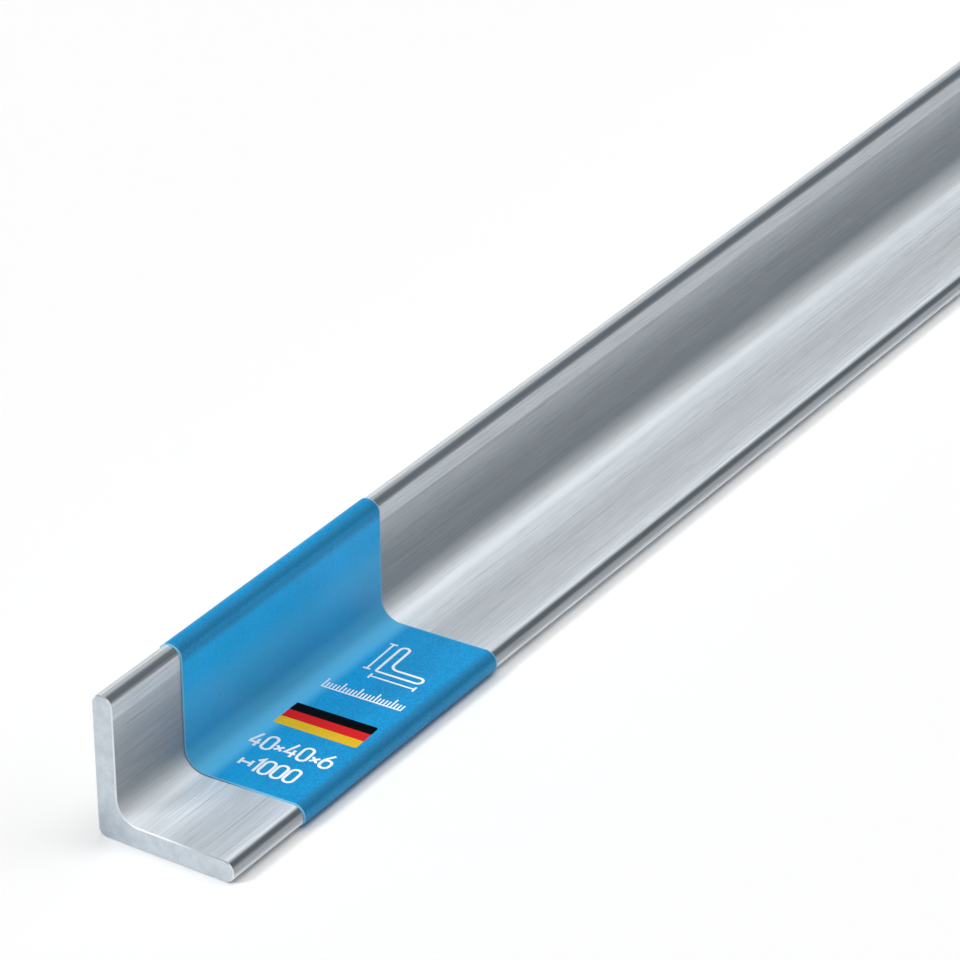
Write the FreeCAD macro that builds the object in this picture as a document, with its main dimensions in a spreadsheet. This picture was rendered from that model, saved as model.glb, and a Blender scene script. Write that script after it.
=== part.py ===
import FreeCAD, Part
import math
import os
import Sketcher
from FreeCAD import Placement, Rotation, Vector

# Bright steel equal angle, cut to a stock length, with a printed label film folded over its inner side.
# The section is drawn in the YZ plane with its heel at the origin: one leg runs out along -Y and lies
# on the floor, the other rises along +Z. The bar runs along +X, away from the end that shows.

# Driving sizes in millimetres, and two angles in degrees.
SIZES = [
    ("LegWidth", 40.0, "outside width of each leg"),
    ("LegThickness", 6.0, "thickness of both legs"),
    ("RootRadius", 6.0, "fillet in the inside corner"),
    ("HeelRadius", 2.5, "rounding of the outside corner"),
    ("ToeFlat", 0.3, "flat left between the two roundings of a toe"),
    ("StockLength", 1000.0, "length as sold"),
    ("EdgeBreak", 0.3, "deburring chamfer round both sawn ends"),
    ("FilmThickness", 0.3, "label film with its adhesive"),
    ("FilmStart", 27.0, "from the near sawn end to the label"),
    ("FilmLength", 84.0, "length of the label along the bar"),
    ("FilmWrap", 60.0, "how far the film turns past the flat of each toe"),
    ("FilmSkew", 2.5, "how far the label is turned from square on the bar"),
]
PARTS_FOLDER = "parts"

doc = FreeCAD.newDocument("AngleSection")
sheet = doc.addObject("Spreadsheet::Sheet", "Sizes")
for row, (alias, value, meaning) in enumerate(SIZES, start=1):
    sheet.set("A%d" % row, meaning)
    sheet.set("B%d" % row, str(value))
    sheet.setAlias("B%d" % row, alias)
doc.recompute()

# Each toe is a full nose: two equal roundings share the thickness, less the flat between them.
TOE_RADIUS = "(Sizes.LegThickness - Sizes.ToeFlat) / 2"
toe = (sheet.LegThickness - sheet.ToeFlat) / 2
width = sheet.LegWidth
thickness = sheet.LegThickness

# The corners of the section in order, each a right angle with its rounding.
HEEL, LOW_TOE, LOW_TOE_TOP, ROOT, HIGH_TOE_FRONT, HIGH_TOE = range(6)
CORNERS = [
    (Vector(0, 0), sheet.HeelRadius),
    (Vector(-width, 0), toe),
    (Vector(-width, thickness), toe),
    (Vector(-thickness, thickness), sheet.RootRadius),
    (Vector(-thickness, width), toe),
    (Vector(0, width), toe),
]
TOE_CORNERS = (LOW_TOE, LOW_TOE_TOP, HIGH_TOE_FRONT, HIGH_TOE)

# How a sketch numbers the points of a side or an arc, its own origin and its two axes.
START, END, CENTRE = range(1, 4)
HORIZONTAL_AXIS, VERTICAL_AXIS = range(-1, -3, -1)
ORIGIN = (HORIZONTAL_AXIS, START)


def on_yz_plane(body, name):
    """Add a sketch on the body's own YZ plane: its x is the body's Y and its y is the body's Z."""
    plane = [item for item in body.Origin.OriginFeatures if item.Role == "YZ_Plane"][0]
    sketch = body.newObject("Sketcher::SketchObject", name)
    sketch.AttachmentSupport = [(plane, "")]
    sketch.MapMode = "FlatFace"
    return sketch


def directions(index):
    """Unit vectors of the sides that arrive at and leave a corner."""
    corner = CORNERS[index][0]
    arriving = (corner - CORNERS[index - 1][0]).normalize()
    leaving = (CORNERS[(index + 1) % len(CORNERS)][0] - corner).normalize()
    return arriving, leaving


def add_side(sketch, index):
    """Draw the straight side from one corner's rounding to the next one's, level or upright."""
    following = (index + 1) % len(CORNERS)
    along = directions(index)[1]
    first = CORNERS[index][0] + along * CORNERS[index][1]
    last = CORNERS[following][0] - along * CORNERS[following][1]
    side = sketch.addGeometry(Part.LineSegment(first, last))
    sketch.addConstraint(Sketcher.Constraint("Horizontal" if abs(along.x) > 0.5 else "Vertical", side))
    return side


def add_rounding(sketch, index, turn=90.0, kept="both"):
    """Draw a corner's arc, or only the turn next to its first or last point.

    Gives the arc with the numbers of its points where the outline arrives and leaves.
    """
    corner, radius = CORNERS[index]
    arriving, leaving = directions(index)
    centre = corner - arriving * radius + leaving * radius
    entry = math.atan2(-leaving.y, -leaving.x)
    to_the_left = arriving.cross(leaving).z > 0
    sweep = math.radians(turn)
    left_out = math.radians(90.0) - sweep
    if to_the_left:
        low = entry + (left_out if kept == "last" else 0)
        points = (START, END)
    else:
        low = entry - sweep - (left_out if kept == "last" else 0)
        points = (END, START)
    circle = Part.Circle(centre, Vector(0, 0, 1), radius)
    arc = sketch.addGeometry(Part.ArcOfCircle(circle, low, low + sweep))
    return arc, points[0], points[1]


def join(sketch, sides, arcs):
    """Make each arc run on smoothly from the side before it and into the side after it."""
    for index, (arc, arrives, leaves) in arcs.items():
        before = (index - 1) % len(CORNERS)
        if before in sides:
            sketch.addConstraint(Sketcher.Constraint("Tangent", sides[before], END, arc, arrives))
        if index in sides:
            sketch.addConstraint(Sketcher.Constraint("Tangent", arc, leaves, sides[index], START))


def drive(sketch, name, constraint, expression):
    """Add a dimension and bind it to the sheet."""
    sketch.renameConstraint(sketch.addConstraint(constraint), name)
    sketch.setExpression("Constraints." + name, expression)


def drive_section(sketch, sides, arcs):
    """Give the outline its leg widths, thicknesses and radii, all measured from the heel corner."""
    low_end = (sides[LOW_TOE], START)
    low_top = (sides[LOW_TOE_TOP], START)
    high_front = (sides[ROOT], START)
    high_end = (sides[HIGH_TOE_FRONT], START)
    rule = Sketcher.Constraint
    drive(sketch, "LowLeg", rule("DistanceX", *low_end, *ORIGIN, width), "Sizes.LegWidth")
    drive(sketch, "LowThickness", rule("DistanceY", *ORIGIN, *low_top, thickness), "Sizes.LegThickness")
    drive(sketch, "HighThickness", rule("DistanceX", *high_front, *ORIGIN, thickness), "Sizes.LegThickness")
    drive(sketch, "HighLeg", rule("DistanceY", *ORIGIN, *high_end, width), "Sizes.LegWidth")
    drive(sketch, "Root", rule("Radius", arcs[ROOT][0], sheet.RootRadius), "Sizes.RootRadius")
    drive(sketch, "Toe", rule("Radius", arcs[LOW_TOE][0], toe), TOE_RADIUS)
    for index in TOE_CORNERS[1:]:
        sketch.addConstraint(rule("Equal", arcs[LOW_TOE][0], arcs[index][0]))


# The bar is rolled and ground to one section, then sawn square and deburred.
bar = doc.addObject("PartDesign::Body", "AngleBar")
bar.Label = "angle_bar"
section = on_yz_plane(bar, "Section")
sides = {index: add_side(section, index) for index in range(len(CORNERS))}
arcs = {index: add_rounding(section, index) for index in range(len(CORNERS))}
join(section, sides, arcs)
section.addConstraint(Sketcher.Constraint("PointOnObject", sides[HIGH_TOE], START, VERTICAL_AXIS))
section.addConstraint(Sketcher.Constraint("PointOnObject", sides[HEEL], START, HORIZONTAL_AXIS))
drive_section(section, sides, arcs)
drive(section, "Heel", Sketcher.Constraint("Radius", arcs[HEEL][0], sheet.HeelRadius), "Sizes.HeelRadius")

stock = bar.newObject("PartDesign::Pad", "Stock")
stock.Profile = section
stock.setExpression("Length", "Sizes.StockLength")
doc.recompute()


def end_edges(shape, stations):
    """Names of the edges that lie wholly in one of the planes across the bar."""
    names = []
    for number, edge in enumerate(shape.Edges, start=1):
        box = edge.BoundBox
        if any(abs(box.XMin - x) < 0.001 and abs(box.XMax - x) < 0.001 for x in stations):
            names.append("Edge%d" % number)
    return names


deburr = bar.newObject("PartDesign::Chamfer", "Deburr")
deburr.Base = (stock, end_edges(stock.Shape, (0.0, sheet.StockLength)))
deburr.setExpression("Size", "Sizes.EdgeBreak")
bar.Tip = deburr

# The label is one film laid on the inner side of the section. It follows both legs and the fillet
# between them, and folds over both toes, where it stops short of the back and of the underside.
# It was stuck on a little askew, so a strip of film longer than the label is cut to its turned ends.
ACROSS_THE_BAR = Rotation(Vector(1, 1, 1), 120)
route = doc.addObject("Sketcher::SketchObject", "FilmRoute")
route.Placement = Placement(Vector(), ACROSS_THE_BAR)
route.setExpression("Placement.Base.x", "Sizes.FilmStart - Sizes.LegWidth")
film_sides = {index: add_side(route, index) for index in (LOW_TOE, LOW_TOE_TOP, ROOT, HIGH_TOE_FRONT)}
film_arcs = {
    LOW_TOE: add_rounding(route, LOW_TOE, sheet.FilmWrap, "last"),
    LOW_TOE_TOP: add_rounding(route, LOW_TOE_TOP),
    ROOT: add_rounding(route, ROOT),
    HIGH_TOE_FRONT: add_rounding(route, HIGH_TOE_FRONT),
    HIGH_TOE: add_rounding(route, HIGH_TOE, sheet.FilmWrap, "first"),
}
join(route, film_sides, film_arcs)
drive_section(route, film_sides, film_arcs)
low_arc = film_arcs[LOW_TOE][0]
high_arc = film_arcs[HIGH_TOE][0]
turn = math.radians(sheet.FilmWrap)
drive(route, "LowCentre", Sketcher.Constraint("DistanceY", *ORIGIN, low_arc, CENTRE, toe), TOE_RADIUS)
drive(route, "HighCentre", Sketcher.Constraint("DistanceX", high_arc, CENTRE, *ORIGIN, toe), TOE_RADIUS)
drive(route, "LowWrap", Sketcher.Constraint("Angle", low_arc, turn), "Sizes.FilmWrap * 1 deg")
drive(route, "HighWrap", Sketcher.Constraint("Angle", high_arc, turn), "Sizes.FilmWrap * 1 deg")

film_section = doc.addObject("Part::Offset2D", "FilmSection")
film_section.Source = route
film_section.Mode = "Skin"
film_section.Fill = True
film_section.setExpression("Value", "-Sizes.FilmThickness")

strip = doc.addObject("Part::Extrusion", "FilmStrip")
strip.Base = film_section
strip.DirMode = "Custom"
strip.Dir = Vector(1, 0, 0)
strip.Solid = True
strip.setExpression("LengthFwd", "Sizes.FilmLength + 2 * Sizes.LegWidth")

# The turned ends start level with the face of the upright leg, which is where FilmStart is measured.
ends = doc.addObject("Part::Box", "FilmEnds")
ends.setExpression("Length", "Sizes.FilmLength * cos(Sizes.FilmSkew * 1deg)")
ends.setExpression("Width", "Sizes.LegWidth * 3")
ends.setExpression("Height", "Sizes.LegWidth * 3")
ends.setExpression("Placement.Rotation.Angle", "Sizes.FilmSkew * 1deg")
ends.setExpression("Placement.Base.x", "Sizes.FilmStart + 2 * Sizes.LegWidth * sin(Sizes.FilmSkew * 1deg)")
ends.setExpression("Placement.Base.y", "-Sizes.LegThickness - 2 * Sizes.LegWidth * cos(Sizes.FilmSkew * 1deg)")
ends.setExpression("Placement.Base.z", "-Sizes.LegWidth")

film = doc.addObject("Part::MultiCommon", "Film")
film.Label = "label"
film.Shapes = [strip, ends]

# Both pieces move together, so that the origin is under the middle of the labelled bar.
pieces = (bar, film)
for piece in pieces:
    piece.setExpression("Placement.Base.x", "-Sizes.StockLength / 2")
    piece.setExpression("Placement.Base.y", "(Sizes.LegWidth + Sizes.FilmThickness) / 2")
doc.recompute()

for item in doc.Objects:
    if "Invalid" in item.State or "Error" in item.State:
        raise RuntimeError("%s failed: %s" % (item.Name, item.State))
for sketch in (section, route):
    if sketch.solve() != 0 or not sketch.FullyConstrained:
        raise RuntimeError("%s isn't fully constrained" % sketch.Name)
for piece in pieces:
    if piece.Shape.isNull() or not piece.Shape.isValid() or len(piece.Shape.Solids) != 1:
        raise RuntimeError("%s isn't one valid solid" % piece.Label)

os.makedirs(PARTS_FOLDER, exist_ok=True)
for piece in pieces:
    piece.Shape.exportStep(os.path.join(PARTS_FOLDER, piece.Label + ".step"))
    box = piece.Shape.BoundBox
    print("%s: %.2f x %.2f x %.2f mm" % (piece.Label, box.XLength, box.YLength, box.ZLength))
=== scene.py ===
import bmesh
import bpy
import math
from mathutils import Matrix, Vector


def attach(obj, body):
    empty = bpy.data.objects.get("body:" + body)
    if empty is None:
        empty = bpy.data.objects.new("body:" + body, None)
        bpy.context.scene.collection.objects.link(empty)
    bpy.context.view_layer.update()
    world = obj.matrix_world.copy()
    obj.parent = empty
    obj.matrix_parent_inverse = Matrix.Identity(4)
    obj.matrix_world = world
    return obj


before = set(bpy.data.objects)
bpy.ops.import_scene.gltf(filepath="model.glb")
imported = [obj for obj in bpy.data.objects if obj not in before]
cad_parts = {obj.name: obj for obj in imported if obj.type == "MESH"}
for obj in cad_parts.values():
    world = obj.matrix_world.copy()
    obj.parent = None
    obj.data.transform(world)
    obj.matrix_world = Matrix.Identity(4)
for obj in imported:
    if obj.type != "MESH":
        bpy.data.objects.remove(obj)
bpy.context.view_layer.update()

# THE BAR
# One rolled and ground length of bright steel equal angle, brushed lengthwise and scratched by handling. The
# ends are sawn square and deburred, so they are mottled and have a bright rim, which is partly a painted
# highlight and has painted shade where it faces up. Painted into the colour, and not a change of the steel,
# are painted shade in a dark band above the fillet, in a dark line along each toe, on the middle of the leg,
# on the back and the underside and low on each end towards the heel, and painted highlights on the root, the
# fillet and the toes.
MM = 0.001
BAR_LENGTH = 1000

# Colours of the darkest and the brightest steel. A tone of 0 gives the first, and a tone of 1 the second. The
# tone carries the grain and the scratches, and the painted shade and painted highlights too.
STEEL_DARKEST = (0.10, 0.125, 0.15, 1)
STEEL_BRIGHT = (0.93, 0.97, 1.0, 1)
SAWN_DARK = (0.46, 0.53, 0.59, 1)
SAWN_BRIGHT = (0.70, 0.75, 0.79, 1)

# The tone of the plain faces, and how much each zone adds to it or takes away. Apart from the grain, the
# scratches and the mottle of the sawn ends, the zones are painted highlights and painted shade.
FACE_TONE = 0.84
HIGHLIGHT_TONE = 0.16
MIDDLE_TONE = 0.19
FILLET_TONE = 0.10
FAR_TONE = 0.20
NEAR_TONE = 0.13
BACK_TONE = 0.34
BAND_TONE = 0.52
UPPER_LINE_TONE = 0.92
LOWER_LINE_TONE = 0.77
RIM_TONE = 0.95
TOP_RIM_TONE = 0.65
GRAIN_TONE = 0.26
SCRATCH_TONE = 0.24
SAWN_TONE = 0.52
MOTTLE_TONE = 0.46
HEEL_TONE = 0.62

# Where each zone fades in, in millimetres: across the bar, above the floor, and along from its middle.
INNER_SIDE = (14.5, 15.0)
BACK_ACROSS = (19.0, 20.1)
UPPER_TOE = (33.8, 34.2)
LOWER_TOE = (13.6, 14.0)
ROOT_ACROSS, ROOT_HEIGHT = (2.0, 8.0), (6.2, 7.0)
FILLET_ACROSS, FILLET_HEIGHT = (8.4, 10.4), (7.2, 10.0)
BAND_ACROSS, BAND_HEIGHT, BAND_TOP = (8.0, 10.0), (6.5, 13.5), (21, 36)
SMOOTH_ACROSS, SMOOTH_HEIGHT = (4, 10), (11, 18)
HEEL_ACROSS, HEEL_HEIGHT = (6.0, 20.0), (1.0, 14.0)
RIM_ACROSS = (-15, 3)
MIDDLE_FROM_CENTRE, MIDDLE_SPAN = 8, (3, 12)
NEAR_END = (-490, -440)
FAR_STRETCH = (-350, -100)

# Waves a metre along the bar, across it and upwards, of what the brushing and the handling left.
STROKES = (36, 3100, 3100)
HAIRLINES = (130, 6000, 6000)
STREAKS = (7, 260, 260)
SHORT_SCRATCHES = (60, 4600, 4600)
LONG_SCRATCHES = (5, 2800, 2800)
CLOUDS = (260, 260, 260)
PITS = (1500, 1500, 1500)


class Wire:
    """One output of a shader node. Sums and products of wires add the Math nodes that work them out."""

    def __init__(self, tree, socket=None):
        self.tree = tree
        self.socket = socket

    def node(self, kind, settings=None, inputs=None, output=0):
        """Add a node: first its settings, then a value or a wire for each socket that is named."""
        node = self.tree.nodes.new(kind)
        for name, value in (settings or {}).items():
            setattr(node, name, value)
        for name, value in (inputs or {}).items():
            if isinstance(value, Wire):
                self.tree.links.new(value.socket, node.inputs[name])
            else:
                node.inputs[name].default_value = value
        return Wire(self.tree, node.outputs[output] if node.outputs else None)

    def maths(self, operation, *values):
        return self.node("ShaderNodeMath", {"operation": operation}, dict(enumerate(values)))

    def __add__(self, other):
        return self.maths("ADD", self, other)

    __radd__ = __add__

    def __sub__(self, other):
        return self.maths("SUBTRACT", self, other)

    def __rsub__(self, other):
        return self.maths("SUBTRACT", other, self)

    def __mul__(self, other):
        return self.maths("MULTIPLY", self, other)

    __rmul__ = __mul__

    def __truediv__(self, other):
        return self.maths("DIVIDE", self, other)

    def __neg__(self):
        return -1 * self

    def __abs__(self):
        return self.maths("ABSOLUTE", self)

    def step(self, low, high):
        """A soft step: 0 below low, 1 above high."""
        limits = {"Value": self, "From Min": low, "From Max": high}
        return self.node("ShaderNodeMapRange", {"interpolation_type": "SMOOTHSTEP"}, limits)

    def blend(self, first, second):
        """The first colour where this wire is 0, and the second where it is 1."""
        return self.node("ShaderNodeMix", {"data_type": "RGBA"}, {0: self, 6: first, 7: second}, 2)

    def noise(self, scales, detail=2.0, roughness=0.5):
        """Noise over a place, with a number of waves a metre along each axis."""
        place = self.node("ShaderNodeVectorMath", {"operation": "MULTIPLY"}, {0: self, 1: scales})
        return self.node("ShaderNodeTexNoise", None,
                         {"Vector": place, "Scale": 1.0, "Detail": detail, "Roughness": roughness})

    def axes(self):
        split = self.node("ShaderNodeSeparateXYZ", None, {0: self})
        return [Wire(self.tree, output) for output in split.socket.node.outputs]


def new_finish(name):
    """An empty material, and the wire that its nodes are added from."""
    finish = bpy.data.materials.new(name)
    finish.use_nodes = True
    finish.node_tree.nodes.clear()
    return finish, Wire(finish.node_tree)


def show(shader):
    """Send a shader to the surface."""
    shader.node("ShaderNodeOutputMaterial", None, {"Surface": shader})


steel, wire = new_finish("brushed_steel")
place = wire.node("ShaderNodeTexCoord", output="Object")
along, across, height = [axis / MM for axis in place.axes()]
endward, backward, rising = wire.node("ShaderNodeTexCoord", output="Normal").axes()
sawn = abs(endward).step(0.85, 0.95)
rim = abs(endward).step(0.2, 0.4) * (1 - sawn)
inner = 1 - across.step(*INNER_SIDE)
upper_toe = height.step(*UPPER_TOE)
lower_toe = (-across).step(*LOWER_TOE)

# Along the bar: at the near end the root has no painted highlight, the painted band is weaker and the
# fillet's painted highlight turns to slight painted shade, and further along the fillet gets painted shade.
near = 1 - along.step(*NEAR_END)
away = along.step(*FAR_STRETCH)
# Painted highlights on the root of the leg, on the upper toe and where the lower toe turns under, and on the
# fillet. Painted shade on the middle of the leg, on the back and the underside, and in a band on the wall
# above the fillet, fainter towards its top.
root = inner * across.step(*ROOT_ACROSS) * (1 - height.step(*ROOT_HEIGHT)) * (1 - near)
highlight = root + upper_toe + lower_toe * (1 - rising.step(-0.5, 0.1))
middle = 1 - abs(across + MIDDLE_FROM_CENTRE).step(*MIDDLE_SPAN)
fillet = inner * across.step(*FILLET_ACROSS) * (1 - height.step(*FILLET_HEIGHT))
shaded_back = across.step(*BACK_ACROSS) + (-rising).step(0.75, 0.95)
shaded_band = inner * across.step(*BAND_ACROSS) * height.step(*BAND_HEIGHT)
shaded_band = shaded_band * (1 - 0.40 * height.step(*BAND_TOP)) * (1 - 0.12 * near)

# The dark line of each toe is painted shade. It follows the toe's rounding, so it goes by how far the
# surface has turned.
upper_line = rising.step(0.35, 0.75) * (1 - 0.75 * rising.step(0.90, 1.05))
upper_line = upper_toe * (1 - backward.step(0.0, 0.1)) * upper_line
lower_line = 0.5 * rising.step(-0.4, 0.15) + 0.5 * rising.step(0.36, 0.66)
lower_line = lower_toe * lower_line * (1 - rising.step(0.80, 1.0))
# Painted highlights add to the tone of the face, and painted shade takes from it.
tone = FACE_TONE + HIGHLIGHT_TONE * highlight - MIDDLE_TONE * middle - BACK_TONE * shaded_back - BAND_TONE * shaded_band
tone = tone + (FILLET_TONE - FAR_TONE * away - NEAR_TONE * near) * fillet
tone = tone - UPPER_LINE_TONE * upper_line - LOWER_LINE_TONE * lower_line

strokes = place.noise(STROKES, 3, 0.6)
hairlines = place.noise(HAIRLINES, 2, 0.6)
streaks = place.noise(STREAKS, 2)
grain = (0.62 * strokes + 0.26 * hairlines + 0.12 * streaks).step(0.33, 0.67)
short_scratches = place.noise(SHORT_SCRATCHES, 1).step(0.60, 0.72)
long_scratches = place.noise(LONG_SCRATCHES, 1).step(0.68, 0.76)
scratches = short_scratches + long_scratches

# The brush barely reaches into the fillet.
brushing = 1 - 0.6 * inner * across.step(*SMOOTH_ACROSS) * (1 - height.step(*SMOOTH_HEIGHT))
tone = tone * (1 + brushing * (GRAIN_TONE * (grain - 0.5) - SCRATCH_TONE * scratches))
# The rim is partly a painted highlight. Where it faces up, painted shade darkens it, least near the wall.
shaded_top_rim = rising.step(0.50, 0.70) * (1 - 0.65 * across.step(*RIM_ACROSS) * (1 - upper_toe))
rim_tone = RIM_TONE - TOP_RIM_TONE * shaded_top_rim
brushed = (tone * (1 - rim) + rim_tone * rim).blend(STEEL_DARKEST, STEEL_BRIGHT)

clouds = place.noise(CLOUDS, 4, 0.65)
pits = place.noise(PITS, 3, 0.7)
# The sawn end is painted darker low towards the heel: painted shade.
shaded_heel = across.step(*HEEL_ACROSS) * (1 - height.step(*HEEL_HEIGHT))
mottle = (0.7 * clouds + 0.3 * pits).step(0.35, 0.65)
mottle = SAWN_TONE + MOTTLE_TONE * mottle - HEEL_TONE * shaded_heel
colour = sawn.blend(brushed, mottle.blend(SAWN_DARK, SAWN_BRIGHT))
roughness = (0.72 - 0.06 * grain) * (1 - sawn) + (0.62 + 0.10 * pits) * sawn
relief = (strokes + 0.5 * hairlines - 0.4 * scratches) * brushing
relief = relief * (1 - sawn) + pits * sawn
bump = wire.node("ShaderNodeBump", None, {"Strength": 0.35, "Distance": 0.00006, "Height": relief})
show(wire.node("ShaderNodeBsdfPrincipled", None,
               {"Base Color": colour, "Metallic": 1.0, "Roughness": roughness, "Normal": bump}))
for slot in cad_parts["angle_bar"].material_slots:
    slot.material = steel

# THE LABEL
# One blue printed film of satin plastic with a fine grain, stuck down over both inner faces and the fillet
# and folded over both toes. Its cut edges are pale. Painted into the colour, as on the bar, are a painted
# sheen on the fillet, the lower wall and the leg beside the fillet, painted shade in the darker lines where
# it bends over the toes, and painted light that makes the wall and the inner part of the leg paler.
FILM_FROM = -473
FILM_WIDE = 84
FILM_SLOPE = math.tan(math.radians(2.5))
WALL_FACE = 14.2

# The film's two blues, their mix by the tone, its colour for the painted sheen and for the painted shade
# where it bends over the toes, and its colour where it is cut.
FILM_BLUE_DEEP = (0.012, 0.200, 0.430, 1)
FILM_BLUE = (0.013, 0.500, 1.000, 1)
FILM_SHEEN = (0.122, 0.590, 0.940, 1)
FILM_LINE = (0.004, 0.120, 0.260, 1)
FILM_CUT = (0.22, 0.52, 0.74, 1)
FILM_TONE = 0.25
LEG_TONE = 0.32
WALL_TONE = 0.58
SPECKLE_TONE = 0.40
LINE_SHARE = 0.6

# Where each zone fades in, in millimetres across the bar and above the floor.
INNER_LEG_ACROSS, INNER_LEG_HEIGHT = (-7.5, 2.5), (6.4, 7.5)
WALL_HEIGHT, WALL_TOP = (8, 30), (35.0, 37.5)
SHEEN_ACROSS, SHEEN_HEIGHT = (4.5, 8.5), (22, 32)
SHEEN_FOOT, SHEEN_BEND = (6.2, 8.5), (8.5, 14.0)
FILM_SPECKLE = (2000, 2000, 2000)
FILM_PATCHES = (60, 60, 60)

film, wire = new_finish("label_film")
place = wire.node("ShaderNodeTexCoord", output="Object")
backward, rising = wire.node("ShaderNodeTexCoord", output="Normal").axes()[1:]
along, across, height = [axis / MM for axis in place.axes()]
from_end = along - FILM_FROM - FILM_SLOPE * (WALL_FACE - across)
cut = 1 - from_end.step(0.2, 0.6) * (1 - from_end.step(FILM_WIDE - 0.4, FILM_WIDE - 0.1))
# The darker lines where the film bends over the toes are painted shade.
slant = -2 * backward * rising
upper_line = height.step(*UPPER_TOE) * rising.step(0.35, 0.70) * slant
lower_line = (-across).step(*LOWER_TOE) * rising.step(0.0, 0.6) * slant
# Painted light: the wall and the inner part of the leg are painted paler, against the shade they stand in.
painted_light_wall = height.step(*WALL_HEIGHT) * (1 - height.step(*WALL_TOP))
painted_light_inner_leg = across.step(*INNER_LEG_ACROSS) * (1 - height.step(*INNER_LEG_HEIGHT))
# A painted sheen, strongest on the leg beside the fillet and fainter up the wall.
painted_sheen = across.step(*SHEEN_ACROSS) * (1 - height.step(*SHEEN_HEIGHT))
painted_sheen = painted_sheen * (1 - 0.4 * height.step(*SHEEN_FOOT)) * (1 - 0.3 * height.step(*SHEEN_BEND))
speckle = place.noise(FILM_SPECKLE, 2, 0.6)
patches = place.noise(FILM_PATCHES, 2)
tone = FILM_TONE + WALL_TONE * painted_light_wall + LEG_TONE * painted_light_inner_leg
tone = tone + SPECKLE_TONE * ((0.75 * speckle + 0.25 * patches).step(0.3, 0.7) - 0.5)
colour = painted_sheen.blend(tone.blend(FILM_BLUE_DEEP, FILM_BLUE), FILM_SHEEN)
colour = (LINE_SHARE * (upper_line + lower_line)).blend(colour, FILM_LINE)
colour = cut.blend(colour, FILM_CUT)
bump = wire.node("ShaderNodeBump", None, {"Strength": 0.2, "Distance": 0.00004, "Height": speckle})
show(wire.node("ShaderNodeBsdfPrincipled", None,
               {"Base Color": colour, "Roughness": 0.36 + 0.08 * speckle,
                "Specular IOR Level": 0.15, "Normal": bump}))
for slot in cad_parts["label"].material_slots:
    slot.material = film

# THE STRIPE PANEL
# Three equal stripes in black, red and gold, printed on the flat of the lower leg. The panel's outer
# corners are a little rounded. The ink is a film a few hundredths of a millimetre thick.
FILM_TOP = 6.3
HEEL_BACK = 20.15
SKEW = math.radians(2.4)
INK = 0.02
# Painted light and shade across each ink, in millimetres across the bar: its deeper copy towards the toe and
# its own colour towards the wall.
INK_SHADE_FADE = (-10, 8)
INK_SPECKLE = (2600, 2600, 2600)
PANEL_WIDTH = 24.2
STRIPE = 3.5
PANEL_CORNER = 0.7
PANEL_MIDDLE = (61.4, 23.5)


def on_label(middle):
    """Where print lies: x runs out towards the toe, y along the bar, and both are turned with the label."""
    from_end, from_heel = middle
    spot = MM * Vector((from_end - BAR_LENGTH / 2, HEEL_BACK - from_heel, FILM_TOP))
    return Matrix.Translation(spot) @ Matrix.Rotation(SKEW - math.pi / 2, 4, "Z") @ Matrix.Scale(MM, 4)


def print_on(name, shape, middle, ink):
    """Put an inked shape, drawn in millimetres, on the label."""
    mesh = bpy.data.meshes.new(name)
    shape.transform(on_label(middle))
    shape.to_mesh(mesh)
    shape.free()
    piece = bpy.data.objects.new(name, mesh)
    bpy.context.scene.collection.objects.link(piece)
    mesh.materials.append(ink)
    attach(piece, "root")
    return piece


def slab(shape, outline):
    """Add a thin slab of ink with this outline, which runs anticlockwise."""
    lower = [shape.verts.new((x, y, -INK)) for x, y in outline]
    upper = [shape.verts.new((x, y, INK)) for x, y in outline]
    shape.faces.new(upper)
    shape.faces.new(lower[::-1])
    for i in range(len(outline)):
        shape.faces.new((lower[i - 1], lower[i], upper[i], upper[i - 1]))


def rounded(left, bottom, right, top, radii):
    """Outline of a rectangle with a radius for each corner, anticlockwise from the lower left one."""
    corners = ((left, bottom, 180), (right, bottom, 270), (right, top, 0), (left, top, 90))
    points = []
    for (x, y, start), radius in zip(corners, radii):
        inward = (1 if x == left else -1, 1 if y == bottom else -1)
        steps = 6 if radius else 0
        for i in range(steps + 1):
            angle = math.radians(start + (90 * i / steps if steps else 0))
            points.append((x + radius * (inward[0] + math.cos(angle)),
                           y + radius * (inward[1] + math.sin(angle))))
    return points


def ink_finish(name, colour, grain_and_shade_colour):
    """Printing ink: a satin colour with the film's fine grain in it. Towards the toe it shades into a deeper
    copy, painted shade and light that evens out the wall's shadow on the leg.
    """
    finish, wire = new_finish(name)
    place = wire.node("ShaderNodeTexCoord", output="Object")
    speckle = place.noise(INK_SPECKLE, 3, 0.6)
    tone = 0.3 * speckle.step(0.3, 0.7) + 0.7 * (place.axes()[1] / MM).step(*INK_SHADE_FADE)
    bump = wire.node("ShaderNodeBump", None, {"Strength": 0.2, "Distance": 0.00004, "Height": speckle})
    show(wire.node("ShaderNodeBsdfPrincipled", None,
                   {"Base Color": tone.blend(grain_and_shade_colour, colour),
                    "Roughness": 0.40 + 0.08 * speckle, "Specular IOR Level": 0.05, "Normal": bump}))
    return finish


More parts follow.
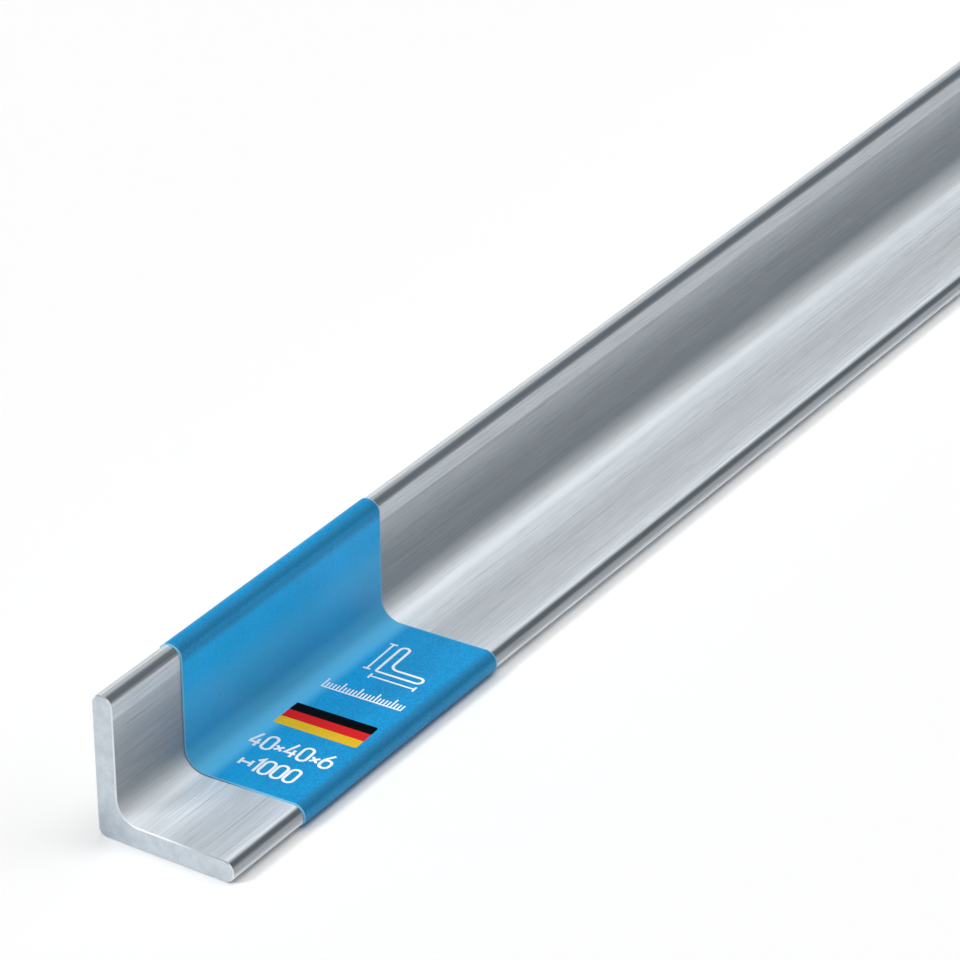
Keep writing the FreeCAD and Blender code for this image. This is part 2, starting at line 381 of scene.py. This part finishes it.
# Each stripe has its colour, a deeper copy of it for the grain and the painted shade towards the toe, and its
# corner radii.
STRIPES = (
    ("stripe_gold", (0.98, 0.63, 0.028, 1), (0.64, 0.41, 0.015, 1),
     (PANEL_CORNER, PANEL_CORNER, 0, 0)),
    ("stripe_red", (0.85, 0.020, 0.022, 1), (0.57, 0.016, 0.018, 1),
     (0, 0, 0, 0)),
    ("stripe_black", (0.001, 0.001, 0.001, 1), (0.0005, 0.0005, 0.0005, 1),
     (0, 0, PANEL_CORNER, PANEL_CORNER)),
)
for row, (name, colour, grain_and_shade_colour, radii) in enumerate(STRIPES):
    low = STRIPE * (row - len(STRIPES) / 2)
    stripe = bmesh.new()
    slab(stripe, rounded(-PANEL_WIDTH / 2, low, PANEL_WIDTH / 2, low + STRIPE, radii))
    print_on(name, stripe, PANEL_MIDDLE, ink_finish(name, colour, grain_and_shade_colour))

# THE WHITE PRINT
# A line drawing of the section between its two dimension lines, a row of scale ticks below it, and the
# sizes in millimetres as plain numbers. All of it is white ink on the film, in strokes of even thickness.
white_ink = ink_finish("white_ink", (1.0, 1.0, 1.0, 1), (0.86, 0.88, 0.90, 1))


def stroke(shape, path, thick, closed=False, lift=0.0):
    """Draw a line of even thickness along a path, mitred at its bends.

    Lift sets it a little above a line that it crosses.
    """
    points = [Vector(point) for point in path]
    count = len(points)
    rows = []
    for i, point in enumerate(points):
        before = point - points[i - 1] if closed or i > 0 else points[1] - point
        after = points[(i + 1) % count] - point if closed or i < count - 1 else point - points[i - 1]
        sides = [Vector((-run.y, run.x)).normalized() for run in (before, after)]
        mitre = (sides[0] + sides[1]).normalized()
        reach = mitre * thick / 2 / mitre.dot(sides[0])
        left, right, top = point + reach, point - reach, INK + lift
        corners = ((left, -INK), (right, -INK), (right, top), (left, top))
        rows.append([shape.verts.new((spot.x, spot.y, z)) for spot, z in corners])
    for i in range(count if closed else count - 1):
        near, far = rows[i], rows[(i + 1) % count]
        for k in range(4):
            shape.faces.new((near[k], near[(k + 1) % 4], far[(k + 1) % 4], far[k]))
    if not closed:
        shape.faces.new(rows[0][::-1])
        shape.faces.new(rows[-1])


def bend(centre, radius, start, end, steps=8):
    """Points along an arc, from one angle in degrees to another."""
    turns = [math.radians(start + (end - start) * i / steps) for i in range(steps + 1)]
    return [(centre[0] + radius * math.cos(turn), centre[1] + radius * math.sin(turn)) for turn in turns]


DRAWING_MIDDLE = (94.3, 24.6)
LEG, THICK, ROOT, TOE, HEEL = 13.0, 2.6, 2.2, 1.3, 0.6
LINE = 0.74
FINE_LINE = 0.54
LIFT = 0.004
DIMENSION_GAP = 2.6
MARK_REACH = 1.1
BALANCE = 1.2
drawing = bmesh.new()
outline = bend((HEEL, HEEL), HEEL, 180, 270)
outline += bend((LEG - TOE, TOE), TOE, -90, 90)
outline += bend((THICK + ROOT, THICK + ROOT), ROOT, 270, 180)
outline += bend((TOE, LEG - TOE), TOE, 0, 180)
stroke(drawing, outline, LINE, closed=True)
stroke(drawing, [(0, -DIMENSION_GAP), (LEG, -DIMENSION_GAP)], FINE_LINE)
stroke(drawing, [(-DIMENSION_GAP, 0), (-DIMENSION_GAP, LEG)], FINE_LINE)
inside, outside = MARK_REACH - DIMENSION_GAP, -MARK_REACH - DIMENSION_GAP
for station in (0, LEG):
    stroke(drawing, [(station, outside), (station, inside)], FINE_LINE, lift=LIFT)
    stroke(drawing, [(outside, station), (inside, station)], FINE_LINE, lift=LIFT)
drawing.transform(Matrix.Translation((BALANCE - LEG / 2, BALANCE - LEG / 2, 0)))
print_on("section_drawing", drawing, DRAWING_MIDDLE, white_ink)

TICKS_MIDDLE = (76.2, 23.7)
TICKS = 23
TICK_LINE = 0.42
TICK_HIGH, LONG_TICK_HIGH = 2.4, 4.0
LONG_TICK_EVERY = 5
ticks = bmesh.new()
for i in range(TICKS + 1):
    x = i - TICKS / 2
    high = TICK_HIGH if i % LONG_TICK_EVERY else LONG_TICK_HIGH
    stroke(ticks, [(x, 0), (x, high)], TICK_LINE, lift=LIFT)
stroke(ticks, [(-TICKS / 2 - TICK_LINE / 2, 0), (TICKS / 2 + TICK_LINE / 2, 0)], TICK_LINE)
print_on("scale_ticks", ticks, TICKS_MIDDLE, white_ink)

# Each sign is a width and its strokes, drawn one unit high. The last one is a length mark.
ROUND = 0.23
ZERO = bend((ROUND, 1 - ROUND), ROUND, 0, 180) + bend((ROUND, ROUND), ROUND, 180, 360)
BOWL = bend((ROUND, 0.36), ROUND, 0, 180) + bend((ROUND, ROUND), ROUND, 180, 360)
STEM = [(0.0, 0.34)] + bend((0.42, 0.42), 0.42, 168, 136, 4) + [(0.32, 1.0)]
SIGNS = {
    "0": (0.46, [(ZERO, True)]),
    "1": (0.22, [([(0.0, 0.80), (0.20, 1.0), (0.20, 0.0)], False)]),
    "4": (0.50, [([(0.30, 1.0), (0.02, 0.28), (0.50, 0.28)], False),
                 ([(0.37, 0.56), (0.37, 0.0)], False)]),
    "6": (0.46, [(BOWL, True), (STEM, False)]),
    "x": (0.34, [([(0.0, 0.18), (0.34, 0.52)], False), ([(0.0, 0.52), (0.34, 0.18)], False)]),
    "-": (0.50, [([(0.0, 0.45), (0.50, 0.45)], False), ([(0.0, 0.22), (0.0, 0.68)], False),
                 ([(0.50, 0.22), (0.50, 0.68)], False)]),
}
SIGN_GAP = 0.15
SIGN_LINE = 0.13
NUMBER_HIGH = 5.9
NUMBERS = (
    ("section_numbers", "40x40x6", (47.5, 23.3)),
    ("length_number", "-1000", (37.8, 23.3)),
)


def numbers(name, text, middle, high):
    """Plain numbers of one height, centred on their place."""
    shape = bmesh.new()
    across = 0.0
    for sign in text:
        wide, strokes_of_sign = SIGNS[sign]
        for i, (path, closed) in enumerate(strokes_of_sign):
            places = [((x + across) * high, (y - 0.5) * high) for x, y in path]
            stroke(shape, places, SIGN_LINE * high, closed, LIFT * i)
        across += wide + SIGN_GAP
    shape.transform(Matrix.Translation((-(across - SIGN_GAP) * high / 2, 0, 0)))
    print_on(name, shape, middle, white_ink)


for name, text, middle in NUMBERS:
    numbers(name, text, middle, NUMBER_HIGH)

# FLOOR
# A plain white studio floor, far wider than the picture. It only takes the bar's soft shadow, and it lies
# a tenth of a millimetre low, so that it shares no surface with the bar's underside.
FLOOR_SIZE = 60.0
FLOOR_DROP = 0.1
FLOOR_WHITE = (0.87, 0.87, 0.87, 1)
floor_shape = bmesh.new()
bmesh.ops.create_grid(floor_shape, x_segments=1, y_segments=1, size=FLOOR_SIZE / 2)
floor_mesh = bpy.data.meshes.new("floor")
floor_shape.to_mesh(floor_mesh)
floor_shape.free()
floor = bpy.data.objects.new("floor", floor_mesh)
floor.location.z = -FLOOR_DROP * MM
bpy.context.scene.collection.objects.link(floor)
paper, wire = new_finish("white_paper")
show(wire.node("ShaderNodeBsdfDiffuse", None, {"Color": FLOOR_WHITE}))
floor_mesh.materials.append(paper)

# LIGHT
# Soft studio lamps far away, and a pale horizon all round. Each lamp has its azimuth, its height and its
# spread in degrees, and then its strength.
HORIZON = 0.9
HORIZON_FADE = (0.04, 0.22)
LAMPS = (
    ("left", 148, 42, 16, 2.18),
    ("right", -45, 40, 40, 0.50),
    ("far", -5, 62, 40, 0.70),
    ("overhead", 0, 90, 40, 1.12),
)
for name, azimuth, rise, spread, strength in LAMPS:
    lamp = bpy.data.lights.new(name, "SUN")
    lamp.angle = math.radians(spread)
    lamp.energy = strength
    holder = bpy.data.objects.new(name, lamp)
    holder.rotation_euler = (0, math.radians(90 - rise), math.radians(azimuth))
    bpy.context.scene.collection.objects.link(holder)

world = bpy.data.worlds.new("horizon")
bpy.context.scene.world = world
world.use_nodes = True
world.node_tree.nodes.clear()
wire = Wire(world.node_tree)
rise = wire.node("ShaderNodeTexCoord", output="Generated").axes()[2]
glow = wire.node("ShaderNodeBackground", None,
                 {"Color": (1, 1, 1, 1), "Strength": HORIZON * (1 - rise.step(*HORIZON_FADE))})
wire.node("ShaderNodeOutputWorld", None, {"Surface": glow})

# CAMERA
# A long lens high in front of the near end. It is aimed at a point on the floor and turned a little about its
# own axis. Its places are in metres, and the lens and the sensor in millimetres.
STAND = Vector((-1.2406, -0.5835, 0.6330))
AIM = Vector((-0.3067, 0.0383, 0))
ROLL = math.radians(-0.509)
LENS = 178.55
SENSOR = 36
FARTHEST = 50
camera_lens = bpy.data.cameras.new("camera")
camera_lens.sensor_width = SENSOR
camera_lens.lens = LENS
camera_lens.clip_end = FARTHEST
camera = bpy.data.objects.new("camera", camera_lens)
camera.location = STAND
turn = (AIM - STAND).to_track_quat("-Z", "Y").to_matrix() @ Matrix.Rotation(ROLL, 3, "Z")
camera.rotation_euler = turn.to_euler()
bpy.context.scene.collection.objects.link(camera)
bpy.context.scene.camera = camera
bpy.context.scene.view_settings.view_transform = "Standard"
